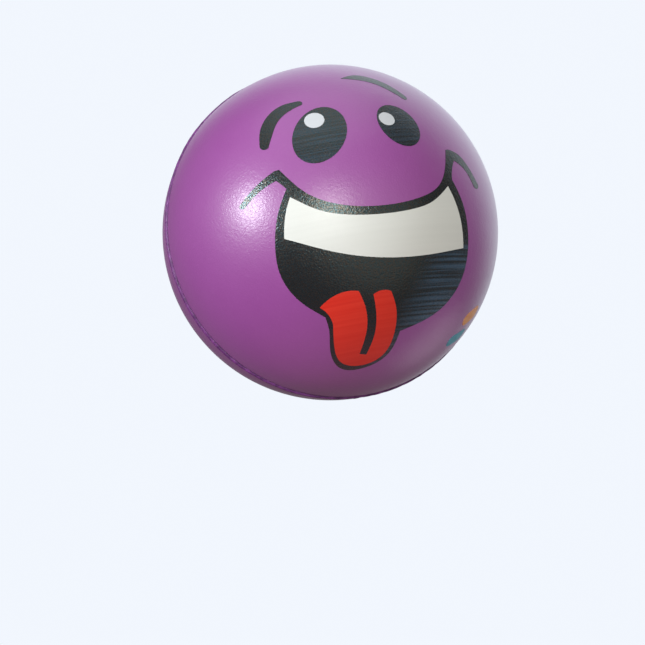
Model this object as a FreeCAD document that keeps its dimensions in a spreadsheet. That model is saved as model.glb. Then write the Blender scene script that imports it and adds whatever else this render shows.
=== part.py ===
"""A foam stress ball with a printed face, as an assembly of its separate pieces.

The ball is a soft foam core inside a denser moulded skin. The skin has a front and a back half,
which meet at a parting line with a trimmed bead of flash. The face is a set of thin ink films,
one for each colour island, lying on the front half.

Millimetres. The origin is the ball's centre, -Y points out of the face, +Z is the face's up and
+X its right-hand side as seen from in front. The parting line lies in the XZ plane.
"""
import FreeCAD, Part
import Sketcher
import math
import os

# Driving dimensions: alias, value, meaning.
SIZES = [
    ("ball_diameter", 70.0, "outside diameter of the skin"),
    ("skin_thickness", 1.2, "dense outer skin around the soft core"),
    ("ink_thickness", 0.1, "printed films"),
    ("bead_width", 1.1, "trimmed flash bead, front to back"),
    ("bead_round", 0.6, "radius of the bead's crown"),
    ("left_eye_x", -8.4, "eye on the -X side, centre"),
    ("left_eye_z", 14.0, "its height"),
    ("left_eye_long", 13.7, "long axis"),
    ("left_eye_wide", 9.5, "short axis"),
    ("left_eye_lean", 51.0, "degrees from +X to the long axis"),
    ("right_eye_x", 8.2, "eye on the +X side, centre"),
    ("right_eye_z", 13.9, "its height"),
    ("right_eye_long", 10.2, "long axis"),
    ("right_eye_wide", 8.3, "short axis"),
    ("right_eye_lean", 119.0, "degrees from +X to the long axis"),
    ("left_glint_x", -8.5, "white spot in the left eye"),
    ("left_glint_z", 17.3, "its height"),
    ("left_glint_long", 4.0, "long axis"),
    ("left_glint_wide", 3.4, "short axis"),
    ("left_glint_lean", 25.0, "degrees from +X to the long axis"),
    ("right_glint_x", 6.0, "white spot in the right eye"),
    ("right_glint_z", 15.5, "its height"),
    ("right_glint_long", 3.4, "long axis"),
    ("right_glint_wide", 3.1, "short axis"),
    ("right_glint_lean", 160.0, "degrees from +X to the long axis"),
    ("mark_length", 6.6, "side mark bars, end to end"),
    ("mark_width", 3.2, "side mark bars, across"),
    ("mark_lean", 33.0, "degrees that the bars rise towards the back"),
    ("upper_mark_turn", 58.5, "degrees from the face round to the upper bar"),
    ("upper_mark_drop", 42.5, "degrees from the equator down to it"),
    ("lower_mark_turn", 59.5, "degrees from the face round to the lower bar"),
    ("lower_mark_drop", 51.5, "degrees from the equator down to it"),
]

# Outlines on the face, as (x, z) strokes that each start where the last one ends. Two points make a
# straight stroke, three an arc, and more a smooth curve. A closed outline ends where it began.
LEFT_BROW = [
    [(-19.5, 14.2), (-18.5, 17.4), (-16.1, 20.6), (-12.9, 22.4), (-9.7, 22.6)],
    [(-9.7, 22.6), (-9.1, 22.1), (-9.6, 21.5)],
    [(-9.6, 21.5), (-12.4, 20.5), (-14.9, 18.7), (-16.7, 16.1), (-18.0, 13.8)],
    [(-18.0, 13.8), (-18.9, 13.2), (-19.5, 14.2)],
]
RIGHT_BROW = [
    [(1.0, 26.9), (4.4, 27.6), (7.7, 26.5), (10.5, 24.4), (13.1, 21.1)],
    [(13.1, 21.1), (13.0, 20.3), (12.15, 20.4)],
    [(12.15, 20.4), (10.15, 22.45), (7.55, 24.6), (4.5, 26.0), (1.0, 26.9)],
]
LEFT_CHEEK_LINE = [
    [(-18.4, 8.2), (-22.2, 6.0), (-25.2, 3.3)],
    [(-25.2, 3.3), (-25.4, 2.5), (-24.6, 2.4)],
    [(-24.6, 2.4), (-21.7, 4.8), (-18.6, 6.1)],
    [(-18.6, 6.1), (-18.4, 8.2)],
]
RIGHT_CHEEK_LINE = [
    [(18.3, 8.2), (20.6, 7.4), (22.7, 5.0), (24.5, 1.5)],
    [(24.5, 1.5), (24.25, 0.15), (23.2, 0.5)],
    [(23.2, 0.5), (22.25, 2.85), (20.9, 4.6), (19.1, 5.75)],
    [(19.1, 5.75), (18.3, 8.2)],
]
MOUTH = [
    # upper edge of the lip line, left to right, then the right-hand corner
    [(-17.6, 8.2), (-13.9, 2.3), (-7.6, -1.4), (0.0, -2.65), (7.6, -2.05), (13.4, 0.25), (17.6, 8.1)],
    [(17.6, 8.1), (18.3, 8.2)],
    [(18.3, 8.2), (19.1, 5.75)],
    [(19.1, 5.75), (17.95, 3.9), (17.25, 1.6)],
    # right-hand edge and underside
    [(17.25, 1.6), (18.9, -3.0), (19.4, -9.6), (17.7, -16.8), (12.4, -22.7), (2.8, -26.1)],
    # round the tongue
    [(2.8, -26.1), (1.4, -29.2), (-3.9, -31.3), (-8.9, -30.2), (-11.0, -27.2), (-11.6, -24), (-12.5, -21.5)],
    # left-hand edge, up to the left-hand corner
    [(-12.5, -21.5), (-17.0, -17.8), (-20.4, -11.9), (-20.75, -6.0), (-19.35, -0.1), (-17.2, 4.0)],
    [(-17.2, 4.0), (-17.9, 5.1), (-18.6, 6.1)],
    [(-18.6, 6.1), (-18.4, 8.2)],
    [(-18.4, 8.2), (-17.6, 8.2)],
]
TEETH = [
    [(-16.9, 2.2), (-12.3, -1.5), (-6.3, -3.6), (0.0, -4.3), (6.3, -4.05), (11.2, -2.85), (15.8, 0.25)],
    [(15.8, 0.25), (17.6, -5.6), (17.8, -12.0)],
    [(17.8, -12.0), (10.3, -12.9), (0.0, -12.7), (-10.3, -10.1), (-19.1, -5.6)],
    [(-19.1, -5.6), (-18.4, -1.5), (-16.9, 2.2)],
]
TONGUE = [
    # top of the left lobe, down and up round the centre line, then the top of the right lobe
    [(-13.6, -19.6), (-10.0, -17.8), (-6.2, -18.0)],
    [(-6.2, -18.0), (-4.8, -21.2), (-4.3, -24.8), (-5.1, -28.9)],
    [(-5.1, -28.9), (-3.7, -29.2)],
    [(-3.7, -29.2), (-2.7, -26.4), (-2.6, -22.6), (-3.3, -19.0)],
    [(-3.3, -19.0), (-1.4, -18.5), (0.4, -18.9)],
    # right-hand side, tip and left-hand side
    [(0.4, -18.9), (1.5, -21.8), (1.7, -25.6), (0.3, -29.3), (-4.2, -30.8), (-8.9, -29.3), (-11.0, -23.0)],
    [(-11.0, -23.0), (-11.95, -21.2), (-13.6, -19.6)],
]


def make_sheet(doc):
    """The spreadsheet of driving dimensions."""
    sheet = doc.addObject("Spreadsheet::Sheet", "Sizes")
    for row, (alias, value, meaning) in enumerate(SIZES, start=1):
        sheet.set(f"A{row}", alias)
        sheet.set(f"B{row}", str(value))
        sheet.set(f"C{row}", meaning)
        sheet.setAlias(f"B{row}", alias)
    doc.recompute()
    return sheet


def new_body(doc, label):
    """An empty PartDesign body."""
    body = doc.addObject("PartDesign::Body", label)
    body.Label = label
    return body


def new_sketch(body, name, plane):
    """A sketch flat on one of the body's own origin planes."""
    sketch = body.newObject("Sketcher::SketchObject", name)
    face = [o for o in body.Origin.OriginFeatures if o.Role == plane][0]
    sketch.AttachmentSupport = [(face, "")]
    sketch.MapMode = "FlatFace"
    return sketch


def point(x, y):
    """A point in a sketch's own plane."""
    return FreeCAD.Vector(x, y, 0)


def bind(sketch, name, kind, *where, expression, start=1.0):
    """A driving constraint whose value comes from the sheet."""
    index = sketch.addConstraint(Sketcher.Constraint(kind, *where, start))
    sketch.renameConstraint(index, name)
    sketch.setExpression(f"Constraints.{name}", expression)


def revolve_about_y(body, sketch):
    """A full turn of a sketch in the XY plane about the Y axis."""
    turn = body.newObject("PartDesign::Revolution", "Turn")
    turn.Profile = sketch
    turn.ReferenceAxis = (sketch, ["V_Axis"])
    turn.Angle = 360
    sketch.Visibility = False


def foam_core(doc):
    """The soft core, one solid ball of foam."""
    core = doc.addObject("Part::Sphere", "foam_core")
    core.Label = "foam_core"
    core.setExpression("Radius", "Sizes.ball_diameter / 2 - Sizes.skin_thickness")
    return core


def skin_half(doc, label, side, radius, thickness):
    """Half of the moulded skin: a quarter ring turned about Y, on the side of the parting plane given."""
    body = new_body(doc, label)
    sketch = new_sketch(body, "Ring", "XY_Plane")
    inner = radius - thickness
    quarter = Part.Circle(point(0, 0), FreeCAD.Vector(0, 0, 1), radius)
    inner_quarter = Part.Circle(point(0, 0), FreeCAD.Vector(0, 0, 1), inner)
    first, last = (0.0, math.pi / 2) if side > 0 else (-math.pi / 2, 0.0)
    sketch.addGeometry(Part.ArcOfCircle(quarter, first, last))
    sketch.addGeometry(Part.ArcOfCircle(inner_quarter, first, last))
    sketch.addGeometry(Part.LineSegment(point(inner, 0), point(radius, 0)))
    sketch.addGeometry(Part.LineSegment(point(0, side * inner), point(0, side * radius)))
    # on an arc, point 1 is its start, 2 its end and 3 its centre; it runs anticlockwise
    at_equator, at_pole = (1, 2) if side > 0 else (2, 1)
    origin, x_axis, y_axis = (-1, 1), -1, -2
    for arc, line_end in ((0, 2), (1, 1)):
        sketch.addConstraint(Sketcher.Constraint("Coincident", arc, 3, *origin))
        sketch.addConstraint(Sketcher.Constraint("Coincident", arc, at_equator, 2, line_end))
        sketch.addConstraint(Sketcher.Constraint("Coincident", arc, at_pole, 3, line_end))
        sketch.addConstraint(Sketcher.Constraint("PointOnObject", arc, at_equator, x_axis))
        sketch.addConstraint(Sketcher.Constraint("PointOnObject", arc, at_pole, y_axis))
    bind(sketch, "outer", "Radius", 0, start=radius, expression="Sizes.ball_diameter / 2")
    bind(sketch, "inner", "Radius", 1, start=inner,
         expression="Sizes.ball_diameter / 2 - Sizes.skin_thickness")
    revolve_about_y(body, sketch)
    return body


def parting_bead(doc, radius, width, crown):
    """The trimmed ridge of flash round the parting line: a lens section turned about Y."""
    body = new_body(doc, "parting_bead")
    sketch = new_sketch(body, "Lens", "XY_Plane")
    half = width / 2
    edge = (radius ** 2 - half ** 2) ** 0.5
    rise = crown - (crown ** 2 - half ** 2) ** 0.5
    low, high = point(edge, -half), point(edge, half)
    sketch.addGeometry(Part.Arc(low, point(radius, 0), high))
    sketch.addGeometry(Part.Arc(low, point(edge + rise, 0), high))
    sketch.addConstraint(Sketcher.Constraint("Coincident", 0, 3, -1, 1))
    sketch.addConstraint(Sketcher.Constraint("Coincident", 0, 1, 1, 1))
    sketch.addConstraint(Sketcher.Constraint("Coincident", 0, 2, 1, 2))
    sketch.addConstraint(Sketcher.Constraint("PointOnObject", 1, 3, -1))
    bind(sketch, "ball", "Radius", 0, start=radius, expression="Sizes.ball_diameter / 2")
    bind(sketch, "crown", "Radius", 1, start=crown, expression="Sizes.bead_round")
    bind(sketch, "width", "DistanceY", 0, 1, 0, 2, start=width, expression="Sizes.bead_width")
    revolve_about_y(body, sketch)
    return body


def ink_shell(doc):
    """The space that all ink lies in: a thin shell just outside the skin."""
    outside = doc.addObject("Part::Sphere", "InkOutside")
    outside.setExpression("Radius", "Sizes.ball_diameter / 2 + Sizes.ink_thickness")
    inside = doc.addObject("Part::Sphere", "InkInside")
    inside.setExpression("Radius", "Sizes.ball_diameter / 2")
    shell = doc.addObject("Part::Cut", "InkShell")
    shell.Base = outside
    shell.Tool = inside
    return shell


def stroke_curve(points):
    """A line, an arc or a smooth curve through points, by how many there are."""
    through = [point(x, z) for x, z in points]
    if len(through) == 2:
        return Part.LineSegment(*through)
    if len(through) == 3:
        return Part.Arc(*through)
    curve = Part.BSplineCurve()
    curve.interpolate(through)
    return curve


def runs_forward(points):
    """Whether a stroke keeps its direction in a sketch, where arcs always run anticlockwise."""
    if len(points) != 3:
        return True
    (ax, az), (bx, bz), (cx, cz) = points
    return (bx - ax) * (cz - az) - (bz - az) * (cx - ax) > 0


def outline_sketch(body, name, outline):
    """A closed outline drawn on the face plane."""
    sketch = new_sketch(body, name, "XZ_Plane")
    ends = []
    for points in outline:
        index = sketch.addGeometry(stroke_curve(points))
        ends.append((index, (1, 2) if runs_forward(points) else (2, 1)))
    for (this, this_ends), (following, following_ends) in zip(ends, ends[1:] + ends[:1]):
        sketch.addConstraint(
            Sketcher.Constraint("Coincident", this, this_ends[1], following, following_ends[0]))
    return sketch


def add_ellipse(sketch, sheet, name):
    """An ellipse whose centre, axes and lean come from the sheet's cells of that name."""
    columns = ("x", "z", "long", "wide", "lean")
    x, z, long, wide, lean = (getattr(sheet, f"{name}_{column}") for column in columns)
    centre = point(x, z)
    along = FreeCAD.Rotation(FreeCAD.Vector(0, 0, 1), lean).multVec(point(long / 2, 0))
    across = FreeCAD.Rotation(FreeCAD.Vector(0, 0, 1), lean + 90).multVec(point(wide / 2, 0))
    ellipse = sketch.addGeometry(Part.Ellipse(centre + along, centre + across, centre))
    sketch.exposeInternalGeometry(ellipse)
    long_axis, short_axis = ellipse + 1, ellipse + 2
    bind(sketch, f"{name}_x", "DistanceX", -1, 1, ellipse, 3, start=x, expression=f"Sizes.{name}_x")
    bind(sketch, f"{name}_z", "DistanceY", -1, 1, ellipse, 3, start=z, expression=f"Sizes.{name}_z")
    bind(sketch, f"{name}_long", "Distance", long_axis, start=long, expression=f"Sizes.{name}_long")
    bind(sketch, f"{name}_wide", "Distance", short_axis, start=wide, expression=f"Sizes.{name}_wide")
    drawn = sketch.Geometry[long_axis].EndPoint - sketch.Geometry[long_axis].StartPoint
    half_turn = 0 if drawn * along > 0 else 180
    bind(sketch, f"{name}_lean", "Angle", long_axis, start=math.radians(lean - half_turn),
         expression=f"(Sizes.{name}_lean - {half_turn}) * 1 deg")


def pad_forward(body, sketch):
    """The outline carried out through the face."""
    pad = body.newObject("PartDesign::Pad", "Forward")
    pad.Profile = sketch
    pad.setExpression("Length", "Sizes.ball_diameter")
    sketch.Visibility = False
    return pad


def cut_window(body, sketch):
    """An opening through the padded outline, where another colour of ink lies."""
    pocket = body.newObject("PartDesign::Pocket", "Window")
    pocket.Profile = sketch
    pocket.Type = "ThroughAll"
    pocket.Reversed = True
    sketch.Visibility = False


def film(doc, label, shell, body):
    """The part of the ink shell inside a padded outline."""
    piece = doc.addObject("Part::Common", label)
    piece.Label = label
    piece.Base = shell
    piece.Tool = body
    return piece


def drawn_film(doc, shell, label, outline, windows=()):
    """A film with a drawn outline, less the windows."""
    body = new_body(doc, f"{label}_outline")
    pad_forward(body, outline_sketch(body, "Outline", outline))
    for window in windows:
        cut_window(body, outline_sketch(body, "WindowOutline", window))
    return film(doc, label, shell, body)


def oval_film(doc, shell, sheet, label, oval, window=None):
    """An oval film, with an oval window in it if one is named."""
    body = new_body(doc, f"{label}_outline")
    sketch = new_sketch(body, "Oval", "XZ_Plane")
    add_ellipse(sketch, sheet, oval)
    if window:
        add_ellipse(sketch, sheet, window)
    pad_forward(body, sketch)
    return film(doc, label, shell, body)


def bar_film(doc, shell, sheet, label, turn, drop):
    """A round-ended bar on the side of the ball, drawn facing forward and then turned into place."""
    body = new_body(doc, f"{label}_outline")
    sketch = new_sketch(body, "Bar", "XZ_Plane")
    radius = sheet.mark_width / 2
    reach = sheet.mark_length / 2 - radius
    normal = FreeCAD.Vector(0, 0, 1)
    quarter = math.pi / 2
    right_end = Part.Circle(point(reach, 0), normal, radius)
    left_end = Part.Circle(point(-reach, 0), normal, radius)
    sketch.addGeometry(Part.ArcOfCircle(right_end, -quarter, quarter))
    sketch.addGeometry(Part.LineSegment(point(reach, radius), point(-reach, radius)))
    sketch.addGeometry(Part.ArcOfCircle(left_end, quarter, 3 * quarter))
    sketch.addGeometry(Part.LineSegment(point(-reach, -radius), point(reach, -radius)))
    for a, a_end, b, b_end in ((0, 2, 1, 1), (1, 2, 2, 1), (2, 2, 3, 1), (3, 2, 0, 1)):
        sketch.addConstraint(Sketcher.Constraint("Tangent", a, a_end, b, b_end))
    sketch.addConstraint(Sketcher.Constraint("Symmetric", 0, 3, 2, 3, -1, 1))
    sketch.addConstraint(Sketcher.Constraint("Horizontal", 1))
    bind(sketch, "end", "Radius", 0, start=radius, expression="Sizes.mark_width / 2")
    bind(sketch, "reach", "DistanceX", 2, 3, 0, 3, start=2 * reach,
         expression="Sizes.mark_length - Sizes.mark_width")
    pad_forward(body, sketch)
    rise = FreeCAD.Rotation(FreeCAD.Vector(0, -1, 0), sheet.mark_lean)
    down = FreeCAD.Rotation(FreeCAD.Vector(1, 0, 0), drop)
    round_to_side = FreeCAD.Rotation(FreeCAD.Vector(0, 0, 1), turn)
    body.Placement = FreeCAD.Placement(FreeCAD.Vector(0, 0, 0), round_to_side * down * rise)
    return film(doc, label, shell, body)


def check(doc, pieces):
    """Stops if any object failed, or any piece's shape is empty or not valid."""
    for o in doc.Objects:
        if "Invalid" in o.State or "Error" in o.State:
            raise RuntimeError(f"{o.Label}: {o.State}")
    for piece in pieces:
        if piece.Shape.isNull() or not piece.Shape.isValid() or len(piece.Shape.Solids) != 1:
            raise RuntimeError(f"{piece.Label}: not one valid solid")


def main():
    doc = FreeCAD.newDocument("stress_ball")
    sheet = make_sheet(doc)
    radius = sheet.ball_diameter / 2
    shell = ink_shell(doc)
    pieces = [
        foam_core(doc),
        skin_half(doc, "front_skin", -1, radius, sheet.skin_thickness),
        skin_half(doc, "back_skin", 1, radius, sheet.skin_thickness),
        parting_bead(doc, radius, sheet.bead_width, sheet.bead_round),
        drawn_film(doc, shell, "left_brow", LEFT_BROW),
        drawn_film(doc, shell, "right_brow", RIGHT_BROW),
        oval_film(doc, shell, sheet, "left_eye", "left_eye", window="left_glint"),
        oval_film(doc, shell, sheet, "right_eye", "right_eye", window="right_glint"),
        oval_film(doc, shell, sheet, "left_eye_glint", "left_glint"),
        oval_film(doc, shell, sheet, "right_eye_glint", "right_glint"),
        drawn_film(doc, shell, "mouth", MOUTH, windows=(TEETH, TONGUE)),
        drawn_film(doc, shell, "left_cheek_line", LEFT_CHEEK_LINE),
        drawn_film(doc, shell, "right_cheek_line", RIGHT_CHEEK_LINE),
        drawn_film(doc, shell, "teeth", TEETH),
        drawn_film(doc, shell, "tongue", TONGUE),
        bar_film(doc, shell, sheet, "upper_side_mark", sheet.upper_mark_turn, sheet.upper_mark_drop),
        bar_film(doc, shell, sheet, "lower_side_mark", sheet.lower_mark_turn, sheet.lower_mark_drop),
    ]
    doc.recompute()
    check(doc, pieces)
    os.makedirs("parts", exist_ok=True)
    for piece in pieces:
        piece.Shape.exportStep(os.path.join("parts", f"{piece.Label}.step"))
        box = piece.Shape.optimalBoundingBox()
        extent = f"{box.XLength:.2f} x {box.YLength:.2f} x {box.ZLength:.2f} mm"
        print(f"{piece.Label}: {piece.Shape.Volume:.2f} mm3, {extent}")


main()
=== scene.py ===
"""A foam stress ball with a printed face, in a plain pale studio.

Lengths named in millimetres are multiplied by MM where they are used. The ball's centre is the
origin, -Y points out of the face and +Z is the face's up.
"""
import math

import bpy
import numpy as np
from mathutils import Matrix, Vector, geometry, noise


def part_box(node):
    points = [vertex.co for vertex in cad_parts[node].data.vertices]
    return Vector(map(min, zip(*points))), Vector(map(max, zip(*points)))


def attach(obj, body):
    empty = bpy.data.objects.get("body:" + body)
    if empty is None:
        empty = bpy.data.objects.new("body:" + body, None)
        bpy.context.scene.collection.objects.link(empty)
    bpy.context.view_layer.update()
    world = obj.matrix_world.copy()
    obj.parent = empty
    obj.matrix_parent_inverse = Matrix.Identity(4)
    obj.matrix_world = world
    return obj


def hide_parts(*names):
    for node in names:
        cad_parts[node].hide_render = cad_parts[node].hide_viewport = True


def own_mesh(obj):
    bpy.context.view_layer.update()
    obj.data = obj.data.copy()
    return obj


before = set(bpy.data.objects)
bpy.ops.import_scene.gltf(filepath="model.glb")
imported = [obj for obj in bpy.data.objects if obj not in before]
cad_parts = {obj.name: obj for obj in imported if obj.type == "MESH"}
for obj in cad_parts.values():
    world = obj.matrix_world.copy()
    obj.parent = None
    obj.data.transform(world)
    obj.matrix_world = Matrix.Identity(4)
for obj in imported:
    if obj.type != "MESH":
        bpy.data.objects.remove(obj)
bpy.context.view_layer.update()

MM = 0.001

# ---------------------------------------------------------------- sizes from the frame
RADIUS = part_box("front_skin")[1][2]
CORE_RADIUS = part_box("foam_core")[1][2]
BEAD_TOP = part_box("parting_bead")[1][2]
BEAD_HALF_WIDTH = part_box("parting_bead")[1][1]

# ---------------------------------------------------------------- sizes that only the looks need
DOME_RINGS = 90              # rings of squares from a half's pole to its rim
GRAIN_DEPTH = 0.038          # mm of relief in the skin's wrinkled grain
SPARKLE_DEPTH = 0.065        # and in the dried black ink
GROOVE_DEPTH = 0.42 * MM     # the skin falls away on both sides of the parting line
GROOVE_WIDTH = 0.62 * MM
BEAD_ROOT = 0.30 * MM        # how far the bead's foot sits below the ball's surface
BEAD_STEPS = 1440            # sections round the bead
BEAD_SECTION = 14            # points round each section
GATE_ANGLE = -92.5           # degrees round from +X to the nib that the mould's gate left
INK_LIFT = 0.045 * MM        # how far black ink stands above the skin, printed last
COLOUR_LIFT = 0.035 * MM     # the same for white and coloured ink, printed first
INK_SINK = 0.05 * MM         # how far a film's underside is buried in the skin
OUTLINE_STEP = 0.22          # mm between points along an outline
INNER_STEP = 0.65            # mm between points inside one
CROWDED = 0.5                # an inner point this share of a step from an outline is left out

# Outlines on the face in millimetres, as (x, z) strokes that each start where the last one ends.
# Two points make a straight stroke, three an arc, and more a smooth curve.
LEFT_BROW = [
    [(-19.5, 14.2), (-18.5, 17.4), (-16.1, 20.6), (-12.9, 22.4), (-9.7, 22.6)],
    [(-9.7, 22.6), (-9.1, 22.1), (-9.6, 21.5)],
    [(-9.6, 21.5), (-12.4, 20.5), (-14.9, 18.7), (-16.7, 16.1), (-18.0, 13.8)],
    [(-18.0, 13.8), (-18.9, 13.2), (-19.5, 14.2)],
]
RIGHT_BROW = [
    [(1.0, 26.9), (4.4, 27.6), (7.7, 26.5), (10.5, 24.4), (13.1, 21.1)],
    [(13.1, 21.1), (13.0, 20.3), (12.15, 20.4)],
    [(12.15, 20.4), (10.15, 22.45), (7.55, 24.6), (4.5, 26.0), (1.0, 26.9)],
]
LEFT_CHEEK_LINE = [
    [(-18.4, 8.2), (-22.2, 6.0), (-25.2, 3.3)],
    [(-25.2, 3.3), (-25.4, 2.5), (-24.6, 2.4)],
    [(-24.6, 2.4), (-21.7, 4.8), (-18.6, 6.1)],
    [(-18.6, 6.1), (-18.4, 8.2)],
]
RIGHT_CHEEK_LINE = [
    [(18.3, 8.2), (20.6, 7.4), (22.7, 5.0), (24.5, 1.5)],
    [(24.5, 1.5), (24.25, 0.15), (23.2, 0.5)],
    [(23.2, 0.5), (22.25, 2.85), (20.9, 4.6), (19.1, 5.75)],
    [(19.1, 5.75), (18.3, 8.2)],
]
MOUTH = [
    # upper edge of the lip line, left to right, then the right-hand corner
    [(-17.6, 8.2), (-13.9, 2.3), (-7.6, -1.4), (0.0, -2.65), (7.6, -2.05), (13.4, 0.25), (17.6, 8.1)],
    [(17.6, 8.1), (18.3, 8.2)],
    [(18.3, 8.2), (19.1, 5.75)],
    [(19.1, 5.75), (17.95, 3.9), (17.25, 1.6)],
    # right-hand edge and underside
    [(17.25, 1.6), (18.9, -3.0), (19.4, -9.6), (17.7, -16.8), (12.4, -22.7), (2.8, -26.1)],
    # round the tongue
    [(2.8, -26.1), (1.4, -29.2), (-3.9, -31.3), (-8.9, -30.2), (-11.0, -27.2), (-11.6, -24), (-12.5, -21.5)],
    # left-hand edge, up to the left-hand corner
    [(-12.5, -21.5), (-17.0, -17.8), (-20.4, -11.9), (-20.75, -6.0), (-19.35, -0.1), (-17.2, 4.0)],
    [(-17.2, 4.0), (-17.9, 5.1), (-18.6, 6.1)],
    [(-18.6, 6.1), (-18.4, 8.2)],
    [(-18.4, 8.2), (-17.6, 8.2)],
]
TEETH = [
    [(-16.9, 2.2), (-12.3, -1.5), (-6.3, -3.6), (0.0, -4.3), (6.3, -4.05), (11.2, -2.85), (15.8, 0.25)],
    [(15.8, 0.25), (17.6, -5.6), (17.8, -12.0)],
    [(17.8, -12.0), (10.3, -12.9), (0.0, -12.7), (-10.3, -10.1), (-19.1, -5.6)],
    [(-19.1, -5.6), (-18.4, -1.5), (-16.9, 2.2)],
]
TONGUE = [
    # top of the left lobe, down and up round the centre line, then the top of the right lobe
    [(-13.6, -19.6), (-10.0, -17.8), (-6.2, -18.0)],
    [(-6.2, -18.0), (-4.8, -21.2), (-4.3, -24.8), (-5.1, -28.9)],
    [(-5.1, -28.9), (-3.7, -29.2)],
    [(-3.7, -29.2), (-2.7, -26.4), (-2.6, -22.6), (-3.3, -19.0)],
    [(-3.3, -19.0), (-1.4, -18.5), (0.4, -18.9)],
    # right-hand side, tip and left-hand side
    [(0.4, -18.9), (1.5, -21.8), (1.7, -25.6), (0.3, -29.3), (-4.2, -30.8), (-8.9, -29.3), (-11.0, -23.0)],
    [(-11.0, -23.0), (-11.95, -21.2), (-13.6, -19.6)],
]
# Ovals on the face: centre x and z, long axis, short axis, lean of the long axis from +X in degrees.
LEFT_EYE = (-8.4, 14.0, 13.7, 9.5, 51.0)
RIGHT_EYE = (8.2, 13.9, 10.2, 8.3, 119.0)
LEFT_GLINT = (-8.5, 17.3, 4.0, 3.4, 25.0)
RIGHT_GLINT = (6.0, 15.5, 3.4, 3.1, 160.0)
# Bars on the side: length, width, degrees that they rise towards the back. Each one's place is degrees
# round from the face, then degrees down.
MARK_LENGTH, MARK_WIDTH, MARK_LEAN = 6.6, 3.2, 33.0
UPPER_MARK, LOWER_MARK = (58.5, 42.5), (59.5, 51.5)


# ---------------------------------------------------------------- outlines
def smooth_curve(points, count):
    """Points along the natural cubic spline through the ones given, by chord length."""
    p = np.array(points, float)
    t = np.concatenate([[0.0], np.cumsum(np.linalg.norm(np.diff(p, axis=0), axis=1))])
    gap = np.diff(t)
    n = len(p)
    a = np.eye(n)
    b = np.zeros((n, 2))
    for k in range(1, n - 1):
        a[k, k - 1:k + 2] = gap[k - 1], 2 * (gap[k - 1] + gap[k]), gap[k]
        b[k] = 6 * ((p[k + 1] - p[k]) / gap[k] - (p[k] - p[k - 1]) / gap[k - 1])
    bend = np.linalg.solve(a, b)
    at = np.linspace(0, t[-1], count + 1)
    k = np.clip(np.searchsorted(t, at, side="right") - 1, 0, n - 2)
    g, left, right = gap[k][:, None], (t[k + 1] - at)[:, None], (at - t[k])[:, None]
    return (bend[k] * left ** 3 + bend[k + 1] * right ** 3) / (6 * g) \
        + (p[k] / g - bend[k] * g / 6) * left + (p[k + 1] / g - bend[k + 1] * g / 6) * right


def arc(points, count):
    """Points along the circle through three points, from the first to the last."""
    a, b, c = (np.array(q, float) for q in points)
    normal = np.array([[b[0] - a[0], b[1] - a[1]], [c[0] - a[0], c[1] - a[1]]])
    centre = a + np.linalg.solve(normal, [np.dot(b - a, b - a) / 2, np.dot(c - a, c - a) / 2])
    start, middle, end = (math.atan2(*(q - centre)[::-1]) for q in (a, b, c))
    turn = (end - start) % math.tau
    if (middle - start) % math.tau > turn:
        turn -= math.tau
    angle = start + np.linspace(0, turn, count + 1)
    return centre + np.linalg.norm(a - centre) * np.stack([np.cos(angle), np.sin(angle)], axis=1)


def outline(strokes):
    """The closed loop that the strokes draw, evenly and finely stepped, without its last point."""
    loop = []
    for stroke in strokes:
        reach = np.linalg.norm(np.diff(np.array(stroke), axis=0), axis=1).sum()
        count = max(2, round(reach / OUTLINE_STEP))
        if len(stroke) == 2:
            points = np.linspace(*np.array(stroke), count + 1)
        else:
            points = (arc if len(stroke) == 3 else smooth_curve)(stroke, count)
        loop.extend(points[:-1])
    return np.array(loop)


def oval(x, z, long, wide, lean):
    """The closed loop of an ellipse."""
    count = round(math.pi * (long + wide) / 2 / OUTLINE_STEP)
    angle = np.linspace(0, math.tau, count, endpoint=False)
    along, across = long / 2 * np.cos(angle), wide / 2 * np.sin(angle)
    c, s = math.cos(math.radians(lean)), math.sin(math.radians(lean))
    return np.stack([x + c * along - s * across, z + s * along + c * across], axis=1)


def bar(length, width):
    """The closed loop of a round-ended bar about the origin."""
    reach, radius = length / 2 - width / 2, width / 2
    return outline([
        [(reach, -radius), (length / 2, 0), (reach, radius)],
        [(reach, radius), (-reach, radius)],
        [(-reach, radius), (-length / 2, 0), (-reach, -radius)],
        [(-reach, -radius), (reach, -radius)],
    ])


def inside(points, loops):
    """Which points lie inside the loops, counting a loop within a loop as a hole."""
    odd = np.zeros(len(points), bool)
    for loop in loops:
        for (ax, az), (bx, bz) in zip(loop, np.roll(loop, -1, axis=0)):
            spans = (az > points[:, 1]) != (bz > points[:, 1])
            if az != bz:
                cross = ax + (points[:, 1] - az) * (bx - ax) / (bz - az)
                odd ^= spans & (points[:, 0] < cross)
    return odd


# ---------------------------------------------------------------- meshes
def add_mesh(name, verts, faces, sharp_degrees=None):
    """A smooth-shaded mesh object, with edges over an angle kept sharp."""
    mesh = bpy.data.meshes.new(name)
    mesh.from_pydata([tuple(v) for v in verts], [], [tuple(f) for f in faces])
    mesh.validate()
    mesh.shade_smooth()
    if sharp_degrees:
        mesh.set_sharp_from_angle(angle=math.radians(sharp_degrees))
    piece = bpy.data.objects.new(name, mesh)
    bpy.context.collection.objects.link(piece)
    return piece


def dome_angles():
    """How far each ring of a dome lies from its pole: even steps, and finer ones near the rim."""
    # millimetres from the rim
    fine = [0.0, 0.12, 0.24, 0.36, 0.48, 0.60, 0.74, 0.90, 1.10, 1.35, 1.65]
    rim = [math.pi / 2 - d * MM / RADIUS for d in reversed(fine)]
    even = DOME_RINGS - len(rim) + 1
    return np.concatenate([np.linspace(0, rim[0], even + 1)[:-1], rim])


def groove(distance):
    """How far the skin falls away at this distance from the parting line."""
    return GROOVE_DEPTH * math.exp(-(distance / GROOVE_WIDTH) ** 2)


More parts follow.
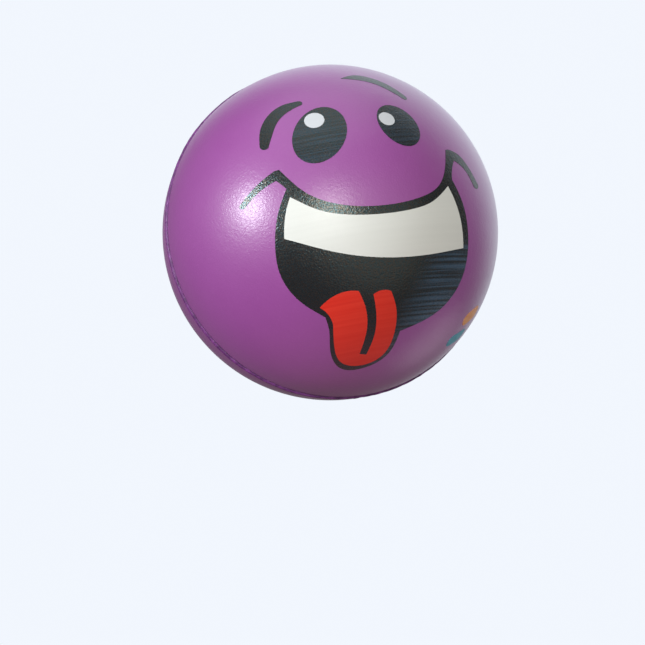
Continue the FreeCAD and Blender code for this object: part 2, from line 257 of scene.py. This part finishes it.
def dome_points(side, radii, angles):
    """A disc-shaped grid of squares laid over a half ball, so it has no pole and its rim is one ring."""
    n = len(angles) - 1
    points = []
    for i in range(-n, n + 1):
        for j in range(-n, n + 1):
            ring = max(abs(i), abs(j))
            if ring == 0:
                turn = 0.0
            elif abs(i) >= abs(j):
                turn = math.pi / 4 * j / i + (math.pi if i < 0 else 0.0)
            else:
                turn = math.pi / 2 - math.pi / 4 * i / j + (math.pi if j < 0 else 0.0)
            out, r = angles[ring], radii[ring]
            points.append((r * math.sin(out) * math.cos(turn), side * r * math.cos(out),
                           r * math.sin(out) * math.sin(turn)))
    return points


def skin_half(name, side):
    """One half of the skin, a closed shell with its rim turned in towards the parting line."""
    angles = dome_angles()
    n = len(angles) - 1
    outer_radii = [RADIUS - groove(RADIUS * (math.pi / 2 - a)) for a in angles]
    verts = dome_points(side, outer_radii, angles) + dome_points(side, [CORE_RADIUS] * (n + 1), angles)
    width = 2 * n + 1
    inner = width * width
    faces = []
    for i in range(2 * n):
        for j in range(2 * n):
            a = i * width + j
            quad = (a, a + 1, a + width + 1, a + width)
            outward = quad if side > 0 else quad[::-1]
            faces.append(outward)
            faces.append(tuple(inner + v for v in outward[::-1]))
    rim = [i * width for i in range(2 * n)] + [2 * n * width + j for j in range(2 * n)]
    rim += [(2 * n - i) * width + 2 * n for i in range(2 * n)] + [2 * n - j for j in range(2 * n)]
    for a, b in zip(rim, rim[1:] + rim[:1]):
        quad = (a, b, inner + b, inner + a)
        faces.append(quad if side > 0 else quad[::-1])
    return add_mesh(name, verts, faces, sharp_degrees=50)


def ball(name, radius):
    """A whole ball, as two domes joined at the rim."""
    angles = np.linspace(0, math.pi / 2, DOME_RINGS // 2 + 1)
    n = len(angles) - 1
    width = 2 * n + 1
    verts, faces, index = [], [], {}
    for side in (1, -1):
        names = []
        for p in dome_points(side, [radius] * (n + 1), angles):
            key = tuple(round(c / radius, 6) + 0.0 for c in p)
            if key not in index:
                index[key] = len(verts)
                verts.append(p)
            names.append(index[key])
        for i in range(2 * n):
            for j in range(2 * n):
                a = i * width + j
                quad = tuple(names[v] for v in (a, a + 1, a + width + 1, a + width))
                faces.append(quad if side > 0 else quad[::-1])
    return add_mesh(name, verts, faces)


def waver(turn, wavelength, seed):
    """A smooth wander between -1 and 1 along the parting line."""
    around = RADIUS / (wavelength * MM)
    return noise.noise(Vector((around * math.cos(turn), around * math.sin(turn), seed)))


def bead_ring(name):
    """The trimmed ridge of flash: a half-round section that wavers a little, with one nib at the gate.

    Height, width and drift are shares of the full size, with wavers of a given wavelength in millimetres
    and seed. The nib is a narrow rise with a dip 1.3 mm beside it."""
    gate = math.radians(GATE_ANGLE)
    verts, faces = [], []
    height, half = BEAD_TOP - RADIUS + BEAD_ROOT, BEAD_HALF_WIDTH * 0.93
    for k in range(BEAD_STEPS):
        turn = math.tau * k / BEAD_STEPS
        from_gate = RADIUS * ((turn - gate + math.pi) % math.tau - math.pi) / MM
        nib = math.exp(-(from_gate / 0.55) ** 2) - 0.9 * math.exp(-((from_gate - 1.3) / 0.35) ** 2)
        tall = height * (0.90 + 0.10 * waver(turn, 7, 0.3) + 0.09 * waver(turn, 1.4, 4.1) + 0.13 * nib)
        broad = half * (0.92 + 0.10 * waver(turn, 5, 9.7) + 0.07 * waver(turn, 1.1, 2.2) + 0.06 * nib)
        drift = half * (0.10 * waver(turn, 9, 6.4) + 0.06 * waver(turn, 1.7, 7.9))
        for s in range(BEAD_SECTION):
            across = math.pi * s / (BEAD_SECTION - 1)
            r = RADIUS - BEAD_ROOT + tall * max(0.0, math.sin(across)) ** 0.8
            verts.append((r * math.cos(turn), drift - broad * math.cos(across), r * math.sin(turn)))
    for k in range(BEAD_STEPS):
        here, there = k * BEAD_SECTION, (k + 1) % BEAD_STEPS * BEAD_SECTION
        for s in range(BEAD_SECTION):
            following = (s + 1) % BEAD_SECTION
            faces.append((here + s, there + s, there + following, here + following))
    return add_mesh(name, verts, faces, sharp_degrees=60)


def film(name, loops, lift, turn=Matrix.Identity(3)):
    """A thin closed film of ink lying on the ball, inside the first loop and outside the others.

    The loops are drawn on the face plane and carried straight back onto the ball, and then turned."""
    edge_points = np.concatenate(loops)
    low, high = edge_points.min(axis=0), edge_points.max(axis=0)
    rows = np.arange(low[1], high[1], INNER_STEP * math.sqrt(3) / 2)
    columns = np.arange(low[0], high[0], INNER_STEP)
    grid = np.array([(x + (k % 2) * INNER_STEP / 2, z) for k, z in enumerate(rows) for x in columns])
    grid = grid[inside(grid, loops)]
    away = np.array([np.min(np.linalg.norm(edge_points - g, axis=1)) for g in grid])
    grid = grid[away > INNER_STEP * CROWDED]
    points = np.concatenate([edge_points, grid])
    edges, start = [], 0
    for loop in loops:
        n = len(loop)
        edges += [(start + k, start + (k + 1) % n) for k in range(n)]
        start += n
    flat, _, triangles, *_ = geometry.delaunay_2d_cdt([Vector(p) for p in points], edges, [], 0, 1e-7)
    flat = np.array([tuple(p) for p in flat])
    triangles = np.array([t for t in triangles if len(t) == 3])
    triangles = triangles[inside(flat[triangles].mean(axis=1), loops)]
    a, b, c = (flat[triangles[:, k]] for k in range(3))
    clockwise = np.cross(b - a, c - a) < 0
    triangles[clockwise] = triangles[clockwise][:, ::-1]
    r = RADIUS / MM
    outward = np.stack([flat[:, 0], -np.sqrt(r * r - (flat ** 2).sum(axis=1)), flat[:, 1]], axis=1) / r
    outward = outward @ np.array(turn).T
    count = len(flat)
    verts = np.concatenate([outward * (RADIUS + lift), outward * (RADIUS - INK_SINK)])
    faces = [tuple(t) for t in triangles] + [tuple(t[::-1] + count) for t in triangles]
    used = {}
    for t in triangles:
        for i, j in ((t[0], t[1]), (t[1], t[2]), (t[2], t[0])):
            used[(i, j)] = True
    faces += [(j, i, i + count, j + count) for i, j in used if (j, i) not in used]
    return add_mesh(name, verts, faces, sharp_degrees=40)


# ---------------------------------------------------------------- materials
PLASTIC_IOR = 1.48                # of the cut flash, and of all inks but the black
LINE_RUN = 0.012                  # how fast the print lines change along X and Y, for 1 along Z
# Colours. Where there are two, a pattern goes from one to the other.
PURPLE = ((0.290, 0.052, 0.290), (0.305, 0.058, 0.305))
PURPLE_SPECK = (0.42, 0.12, 0.41)
# painted shade for the groove beside the parting line
PURPLE_GROOVE_SHADE = (0.07, 0.004, 0.06)
# the flash's purple, darkened with painted shade
FLASH_PURPLE_SHADED = ((0.09, 0.018, 0.11), (0.20, 0.045, 0.23))
# pale lilac foam, and the painted shade in its pores
FOAM_LILAC_AND_PORE_SHADE = ((0.42, 0.34, 0.44), (0.74, 0.68, 0.77))
BLACK_AND_SLATE_REFLECTION = ((0.008, 0.007, 0.010), (0.045, 0.082, 0.135))     # black, and the slate blue of a painted reflection
GLITTER = ((0.52, 0.93, 1.0), (1.0, 0.92, 0.72))           # teal and cream
TEETH_WHITE = ((0.71, 0.72, 0.68), (0.73, 0.74, 0.70))
# a darker copy of the white ink for the glints: painted shade
GLINT_WHITE_SHADED = ((0.57, 0.59, 0.62), (0.60, 0.62, 0.65))
RED = ((0.68, 0.022, 0.010), (0.74, 0.036, 0.018))
ORANGE = ((0.80, 0.30, 0.06), (0.86, 0.40, 0.12))
TEAL = ((0.02, 0.30, 0.42), (0.05, 0.40, 0.52))
FLOOR_GREY = ((0.28, 0.29, 0.31), (0.32, 0.33, 0.35))
# Where a slate-blue reflection is painted into the black ink, in millimetres. Each pair is where a change
# begins and where it ends.
MOUTH_TO_EYES = (7, 9)            # z between the mouth's corners and the eyes
EYE_TO_TOP = (13, 20)             # z from the middle of the eyes to their tops
BROW_TO_EYE = (-15.6, -14.4)      # x between the left brow and the left eye
MOUTH_TO_RIGHT = (16, 24)         # across the mouth: x less MOUTH_LEAN times z
MOUTH_LEAN = 0.7                  # how far to the right that change leans for each millimetre of height
MOUTH_TO_TEETH = (-12, -9)        # z at the teeth's lower edge and a little above it


class Shader:
    """A node material in the making. Every pattern is in object space, so it needs no UV map."""

    def __init__(self, name):
        self.material = bpy.data.materials.new(name)
        self.material.use_nodes = True
        self.nodes = self.material.node_tree.nodes
        self.links = self.material.node_tree.links
        self.surface = self.nodes["Principled BSDF"]
        self.place = self.nodes.new("ShaderNodeTexCoord").outputs["Object"]

    def set(self, **values):
        """Constants on the shader's own sockets."""
        for name, value in values.items():
            self.surface.inputs[name.replace("_", " ")].default_value = value

    def link(self, output, name):
        """A pattern into one of the shader's sockets."""
        self.links.new(output, self.surface.inputs[name])

    def stretched(self, scale):
        """Object space scaled by a different amount along each axis."""
        node = self.nodes.new("ShaderNodeMapping")
        node.inputs["Scale"].default_value = scale
        self.links.new(self.place, node.inputs["Vector"])
        return node.outputs["Vector"]

    def noise(self, size_mm, detail=2.0, roughness=0.5, distortion=0.0, place=None):
        """Noise whose blotches are about this size."""
        node = self.nodes.new("ShaderNodeTexNoise")
        node.inputs["Scale"].default_value = 1 / (size_mm * MM)
        node.inputs["Detail"].default_value = detail
        node.inputs["Roughness"].default_value = roughness
        node.inputs["Distortion"].default_value = distortion
        self.links.new(place or self.place, node.inputs["Vector"])
        return node.outputs["Fac"]

    def cells(self, size_mm):
        """Cells of about this size: the distance from the nearest cell's middle."""
        node = self.nodes.new("ShaderNodeTexVoronoi")
        node.inputs["Scale"].default_value = 1 / (size_mm * MM)
        self.links.new(self.place, node.inputs["Vector"])
        return node.outputs["Distance"]

    def ranged(self, value, low, high, to_low=0.0, to_high=1.0, smooth=False):
        """A value's range carried to another range, and held within it."""
        node = self.nodes.new("ShaderNodeMapRange")
        node.interpolation_type = "SMOOTHSTEP" if smooth else "LINEAR"
        for name, number in (("From Min", low), ("From Max", high), ("To Min", to_low), ("To Max", to_high)):
            node.inputs[name].default_value = number
        self.links.new(value, node.inputs["Value"])
        return node.outputs["Result"]

    def faded(self, value, between_mm, to_low=0.0, to_high=1.0):
        """A smooth change while a length goes from one value to another."""
        return self.ranged(value, between_mm[0] * MM, between_mm[1] * MM, to_low, to_high, smooth=True)

    def maths(self, operation, a, b=None):
        """Arithmetic on numbers and outputs."""
        node = self.nodes.new("ShaderNodeMath")
        node.operation = operation
        for socket, value in zip(node.inputs, (a, b)):
            if isinstance(value, (int, float)):
                socket.default_value = value
            elif value is not None:
                self.links.new(value, socket)
        return node.outputs["Value"]

    def axis(self, name):
        """One coordinate in object space, in metres."""
        node = self.nodes.new("ShaderNodeSeparateXYZ")
        self.links.new(self.place, node.inputs["Vector"])
        return node.outputs[name]

    def mixed(self, share, a, b):
        """One colour turning into another."""
        node = self.nodes.new("ShaderNodeMix")
        node.data_type = "RGBA"
        self.links.new(share, node.inputs["Factor"])
        for socket, colour in ((node.inputs[6], a), (node.inputs[7], b)):
            if isinstance(colour, tuple):
                socket.default_value = (*colour, 1)
            else:
                self.links.new(colour, socket)
        return node.outputs[2]

    def bump(self, height, depth_mm, onto=None):
        """Relief of this depth, on top of another one if given."""
        node = self.nodes.new("ShaderNodeBump")
        node.inputs["Strength"].default_value = 1.0
        node.inputs["Distance"].default_value = depth_mm * MM
        self.links.new(height, node.inputs["Height"])
        if onto:
            self.links.new(onto, node.inputs["Normal"])
        return node.outputs["Normal"]


def skin_material():
    """Satin purple skin: even pigment, a fine wrinkled grain, and painted shade down in the groove."""
    s = Shader("purple_skin")
    s.set(IOR=1.62, Coat_Weight=1.0, Coat_Roughness=0.31, Coat_IOR=1.54)
    cloud = s.ranged(s.noise(14, detail=3), 0.3, 0.7)
    colour = s.mixed(cloud, *PURPLE)
    speck = s.ranged(s.noise(0.45, detail=2), 0.56, 0.72, 0.0, 0.10)
    colour = s.mixed(speck, colour, PURPLE_SPECK)
    # Painted shade: the purple darkens along the groove on both sides of the parting line.
    from_line = s.maths("ABSOLUTE", s.axis("Y"))
    groove_shade = s.faded(from_line, (0.6, 1.3), 0.95, 0.0)
    colour = s.mixed(groove_shade, colour, PURPLE_GROOVE_SHADE)
    s.link(colour, "Base Color")
    s.link(s.ranged(s.noise(5, detail=3), 0.3, 0.7, 0.50, 0.56), "Roughness")
    grain = s.bump(s.noise(0.48, detail=1.0, roughness=0.45, distortion=1.0), GRAIN_DEPTH)
    grain = s.bump(s.noise(1.9, detail=1.0), 0.02, onto=grain)
    s.link(grain, "Normal")
    s.link(grain, "Coat Normal")
    return s.material


def bead_material():
    """The cut edge of the flash: the purple darkened with painted shade, a little bluer, drier and rougher.
    """
    s = Shader("purple_flash")
    s.set(IOR=PLASTIC_IOR)
    # Painted shade: the flash is coloured darker than the skin.
    s.link(s.mixed(s.ranged(s.noise(1.2, detail=3), 0.35, 0.65), *FLASH_PURPLE_SHADED), "Base Color")
    s.link(s.ranged(s.noise(0.8), 0.3, 0.7, 0.38, 0.60), "Roughness")
    s.link(s.bump(s.noise(0.35, detail=3, roughness=0.6), 0.05), "Normal")
    return s.material


def foam_material():
    """Open-cell foam: pale lilac, with painted shade in its small pores."""
    s = Shader("soft_foam")
    s.set(IOR=1.3)
    pores = s.ranged(s.cells(0.7), 0.15, 0.45)
    # Painted shade: the pores are coloured dark.
    s.link(s.mixed(pores, *FOAM_LILAC_AND_PORE_SHADE), "Base Color")
    s.link(s.ranged(s.noise(2), 0.3, 0.7, 0.85, 1.0), "Roughness")
    s.link(s.bump(pores, 0.15), "Normal")
    return s.material


def ink_lines(s, spacing_mm):
    """The fine level lines that a print head leaves."""
    long = s.stretched((LINE_RUN, LINE_RUN, 1.0))
    return s.noise(spacing_mm, detail=3, roughness=0.65, place=long)


def black_ink_material():
    """Glossy black ink that dries to a fine sparkle.

    On the eyes and in the mouth's lower right-hand part a slate-blue reflection is painted in, showing along
    the print's lines."""
    s = Shader("black_ink")
    s.set(IOR=1.64, Coat_Weight=0.35, Coat_Roughness=0.25)
    lines = ink_lines(s, 0.42)
    x, z = s.axis("X"), s.axis("Z")
    # Painted reflection: slate blue on the eyes and in the mouth's lower right-hand part, along the print's
    # lines.
    above_mouth = s.faded(z, MOUTH_TO_EYES)
    below_eye_tops = s.faded(z, EYE_TO_TOP, 0.35, 0.08)
    right_of_brow = s.faded(x, BROW_TO_EYE)
    on_eyes = s.maths("MULTIPLY", s.maths("MULTIPLY", above_mouth, below_eye_tops), right_of_brow)
    slant = s.maths("SUBTRACT", x, s.maths("MULTIPLY", z, MOUTH_LEAN))
    rightward = s.faded(slant, MOUTH_TO_RIGHT)
    low = s.faded(z, MOUTH_TO_TEETH, 1.0, 0.0)
    painted_reflection = s.maths("MAXIMUM", on_eyes, s.maths("MULTIPLY", rightward, low))
    patchy = s.ranged(s.noise(7, detail=2), 0.35, 0.6, 0.75, 1.0)
    share = s.maths("MULTIPLY", s.maths("MULTIPLY", painted_reflection, patchy), s.ranged(lines, 0.42, 0.58, 0.1, 1.0))
    s.link(s.mixed(share, *BLACK_AND_SLATE_REFLECTION), "Base Color")
    s.link(s.ranged(s.noise(0.25, detail=1), 0.35, 0.65, 0.25, 0.38), "Roughness")
    glitter = s.ranged(s.noise(0.30, detail=1), 0.42, 0.58)
    s.link(s.mixed(glitter, *GLITTER), "Specular Tint")
    sparkle = s.bump(s.noise(0.33, detail=1.0, roughness=0.5), SPARKLE_DEPTH, onto=s.bump(lines, 0.008))
    s.link(sparkle, "Normal")
    s.link(sparkle, "Coat Normal")
    return s.material


def white_ink_material():
    """Warm white ink with barely visible lines."""
    s = Shader("white_ink")
    s.set(IOR=PLASTIC_IOR)
    lines = ink_lines(s, 0.8)
    s.link(s.mixed(s.ranged(lines, 0.35, 0.65), *TEETH_WHITE), "Base Color")
    s.link(s.ranged(s.noise(1.5), 0.3, 0.7, 0.36, 0.44), "Roughness")
    s.link(s.bump(s.noise(0.4), 0.010, onto=s.bump(lines, 0.006)), "Normal")
    return s.material


def coloured_ink_material(name, colours):
    """Coloured ink in fine level lines, paler where it is thin."""
    s = Shader(name)
    s.set(IOR=PLASTIC_IOR)
    lines = ink_lines(s, 0.7)
    s.link(s.mixed(s.ranged(lines, 0.35, 0.68), *colours), "Base Color")
    s.link(s.ranged(s.noise(1.2), 0.3, 0.7, 0.38, 0.46), "Roughness")
    s.link(s.bump(s.noise(0.4), 0.010, onto=s.bump(lines, 0.008)), "Normal")
    return s.material


# ---------------------------------------------------------------- the ball
def place(piece, node, body, slot, material):
    """Puts a finished piece in its node's stead and hangs it on its body, so it moves with that body."""
    piece.data.materials.append(material)
    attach(piece, body)
    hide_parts(node)
    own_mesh(piece)
    return piece


def make_ball():
    """The foam, both halves of its skin and the ridge between them."""
    skin = skin_material()
    core = place(ball("foam_core_soft", CORE_RADIUS), "foam_core", "back_half", "foam", foam_material())
    front = place(skin_half("front_skin_moulded", -1), "front_skin", "front_half", "skin", skin)
    back = place(skin_half("back_skin_moulded", 1), "back_skin", "back_half", "skin", skin)
    place(bead_ring("parting_bead_trimmed"), "parting_bead", "back_half", "skin", bead_material())


def make_print():
    """The ink: the face, and the two marks on the side."""
    black, white = black_ink_material(), white_ink_material()
    red = coloured_ink_material("red_ink", RED)
    # The glints get a darker copy of the white ink, as painted shade.
    shaded_white = coloured_ink_material("shaded_white_ink", GLINT_WHITE_SHADED)
    orange = coloured_ink_material("orange_ink", ORANGE)
    teal = coloured_ink_material("teal_ink", TEAL)
    teeth, tongue = outline(TEETH), outline(TONGUE)
    eyes = {"left": (oval(*LEFT_EYE), oval(*LEFT_GLINT)), "right": (oval(*RIGHT_EYE), oval(*RIGHT_GLINT))}
    prints = [
        ("left_brow", [outline(LEFT_BROW)], INK_LIFT, "black_ink", black),
        ("right_brow", [outline(RIGHT_BROW)], INK_LIFT, "black_ink", black),
        ("left_cheek_line", [outline(LEFT_CHEEK_LINE)], INK_LIFT, "black_ink", black),
        ("right_cheek_line", [outline(RIGHT_CHEEK_LINE)], INK_LIFT, "black_ink", black),
        ("mouth", [outline(MOUTH), teeth, tongue], INK_LIFT, "black_ink", black),
        ("teeth", [teeth], COLOUR_LIFT, "white_ink", white),
        ("tongue", [tongue], COLOUR_LIFT, "red_ink", red),
    ]
    for side, (eye, glint) in eyes.items():
        prints.append((f"{side}_eye", [eye, glint], INK_LIFT, "black_ink", black))
        prints.append((f"{side}_eye_glint", [glint], COLOUR_LIFT, "white_ink", shaded_white))
    for node, loops, lift, slot, material in prints:
        place(film(f"{node}_ink", loops, lift), node, "front_half", slot, material)
    rise = Matrix.Rotation(math.radians(-MARK_LEAN), 3, "Y")
    for node, (turn, drop), slot, material in (("upper_side_mark", UPPER_MARK, "orange_ink", orange),
                                               ("lower_side_mark", LOWER_MARK, "teal_ink", teal)):
        down = Matrix.Rotation(math.radians(drop), 3, "X")
        turned = Matrix.Rotation(math.radians(turn), 3, "Z") @ down @ rise
        mark = film(f"{node}_ink", [bar(MARK_LENGTH, MARK_WIDTH)], COLOUR_LIFT, turned)
        place(mark, node, "front_half", slot, material)


# ---------------------------------------------------------------- the studio
# The camera's viewing angle, in the ball's own frame.
TOWARDS_CAMERA = Vector((-0.3095, -0.9336, -0.1808)).normalized()
CAMERA_UP = Vector((0.1242, -0.2282, 0.9657)).normalized()
CAMERA_RIGHT = CAMERA_UP.cross(TOWARDS_CAMERA).normalized()
CAMERA_DISTANCE = 16 * RADIUS
LENS_MM = 149.5
RIGHT_SHARE, UP_SHARE = 0.0120, 0.1391   # where the ball's centre sits in the frame, off its middle
FLOOR_Z = -1.3                       # metres, below every softbox
FLOOR_REACH = 6.0
FLOOR_GLOW = 0.88
PALE = (0.885, 0.925, 0.99)
ROOM = (0.15, 0.14, 0.13)            # the dim, warm room on the camera's side
BACKDROP = (1.1, 1.2, 1.3)           # the bright wall behind the ball
BACKDROP_EDGE = 0.60                 # cosine of the angle from its middle where its light starts to rise
# Places in the studio are directions as the camera sees them: right, up and towards the camera.
BACKDROP_SIDE = (0.33, 0.40, -0.85)
# Softboxes, each a metre from the ball: direction, size in metres, watts and colour.
SOFTBOXES = [
    ("key", (-0.80, 0.25, 0.54), 0.25, 7.6, (0.95, 1.0, 1.05)),
    ("fill", (0.0, 0.26, 0.95), 0.40, 4.4, (1.0, 1.0, 0.98)),
    ("side", (0.5, 0.0, 0.85), 1.5, 2.4, (1.0, 0.96, 0.88)),
    ("overhead", (-0.12, 0.95, 0.1), 1.2, 2.6, (0.90, 1.0, 1.0)),
    ("bounce", (0.0, -0.95, 0.0), 1.3, 1.0, (1.0, 0.40, 0.60)),
    ("low_rim", (0.60, -0.65, -0.45), 0.5, 0.5, (1.0, 0.92, 1.0)),
]


def as_seen(direction):
    """A direction given as the camera sees it, turned into the ball's own frame."""
    x, y, z = direction
    return (x * CAMERA_RIGHT + y * CAMERA_UP + z * TOWARDS_CAMERA).normalized()


def make_camera():
    """The camera, turned a little so that the ball sits above the middle of the frame."""
    data = bpy.data.cameras.new("camera")
    data.lens = LENS_MM
    data.clip_start = 0.01
    camera = bpy.data.objects.new("camera", data)
    bpy.context.collection.objects.link(camera)
    up = TOWARDS_CAMERA.cross(CAMERA_RIGHT)
    straight = Matrix((CAMERA_RIGHT, up, TOWARDS_CAMERA)).transposed()
    focal = LENS_MM / data.sensor_width
    seen_at = Vector((RIGHT_SHARE, UP_SHARE, -focal)).normalized()
    aim = seen_at.rotation_difference(Vector((0, 0, -1))).to_matrix()
    camera.matrix_world = Matrix.Translation(TOWARDS_CAMERA * CAMERA_DISTANCE) @ (straight @ aim).to_4x4()
    bpy.context.scene.camera = camera


def add_softbox(name, direction, size, watts, colour):
    """A round soft light that faces the ball."""
    data = bpy.data.lights.new(name, "AREA")
    data.shape = "DISK"
    data.size = size
    data.energy = watts
    data.color = colour
    light = bpy.data.objects.new(name, data)
    light.location = as_seen(direction)
    light.rotation_euler = as_seen(direction).to_track_quat("Z", "Y").to_euler()
    bpy.context.collection.objects.link(light)


def make_world():
    """A pale backdrop to look at, and a room that lights the ball: dim, and bright on one side."""
    world = bpy.data.worlds.new("studio")
    bpy.context.scene.world = world
    world.use_nodes = True
    nodes, links = world.node_tree.nodes, world.node_tree.links
    nodes.clear()
    towards = nodes.new("ShaderNodeVectorMath")
    towards.operation = "DOT_PRODUCT"
    towards.inputs[1].default_value = as_seen(BACKDROP_SIDE)
    links.new(nodes.new("ShaderNodeTexCoord").outputs["Generated"], towards.inputs[0])
    fade = nodes.new("ShaderNodeMapRange")
    fade.interpolation_type = "SMOOTHSTEP"
    fade.inputs["From Min"].default_value = BACKDROP_EDGE
    links.new(towards.outputs["Value"], fade.inputs["Value"])
    room = nodes.new("ShaderNodeMix")
    room.data_type = "RGBA"
    links.new(fade.outputs["Result"], room.inputs["Factor"])
    room.inputs[6].default_value = (*ROOM, 1)
    room.inputs[7].default_value = (*BACKDROP, 1)
    lighting = nodes.new("ShaderNodeBackground")
    links.new(room.outputs[2], lighting.inputs["Color"])
    backdrop = nodes.new("ShaderNodeBackground")
    backdrop.inputs["Color"].default_value = (*PALE, 1)
    choose = nodes.new("ShaderNodeMixShader")
    path = nodes.new("ShaderNodeLightPath")
    links.new(path.outputs["Is Camera Ray"], choose.inputs["Fac"])
    links.new(lighting.outputs["Background"], choose.inputs[1])
    links.new(backdrop.outputs["Background"], choose.inputs[2])
    out = nodes.new("ShaderNodeOutputWorld")
    links.new(choose.outputs["Shader"], out.inputs["Surface"])


def make_floor():
    """A wide pale floor, well below the ball, which hangs in the air.

    It glows a little, so that it is as pale as the backdrop, but it lights nothing."""
    corners = [(x * FLOOR_REACH, y * FLOOR_REACH, FLOOR_Z) for x, y in ((-1, -1), (1, -1), (1, 1), (-1, 1))]
    floor = add_mesh("floor", corners, [(0, 1, 2, 3)])
    s = Shader("pale_floor")
    s.link(s.mixed(s.noise(400, detail=2), *FLOOR_GREY), "Base Color")
    s.set(Roughness=0.9, Emission_Color=(*PALE, 1), Emission_Strength=FLOOR_GLOW)
    s.material.cycles.emission_sampling = "NONE"
    floor.data.materials.append(s.material)
    floor.visible_diffuse = False
    floor.visible_glossy = False


def make_studio():
    """What the ball is seen in: camera, backdrop, floor and lights."""
    make_camera()
    make_world()
    make_floor()
    for softbox in SOFTBOXES:
        add_softbox(*softbox)
    bpy.context.scene.view_settings.view_transform = "Standard"


make_ball()
make_print()
make_studio()
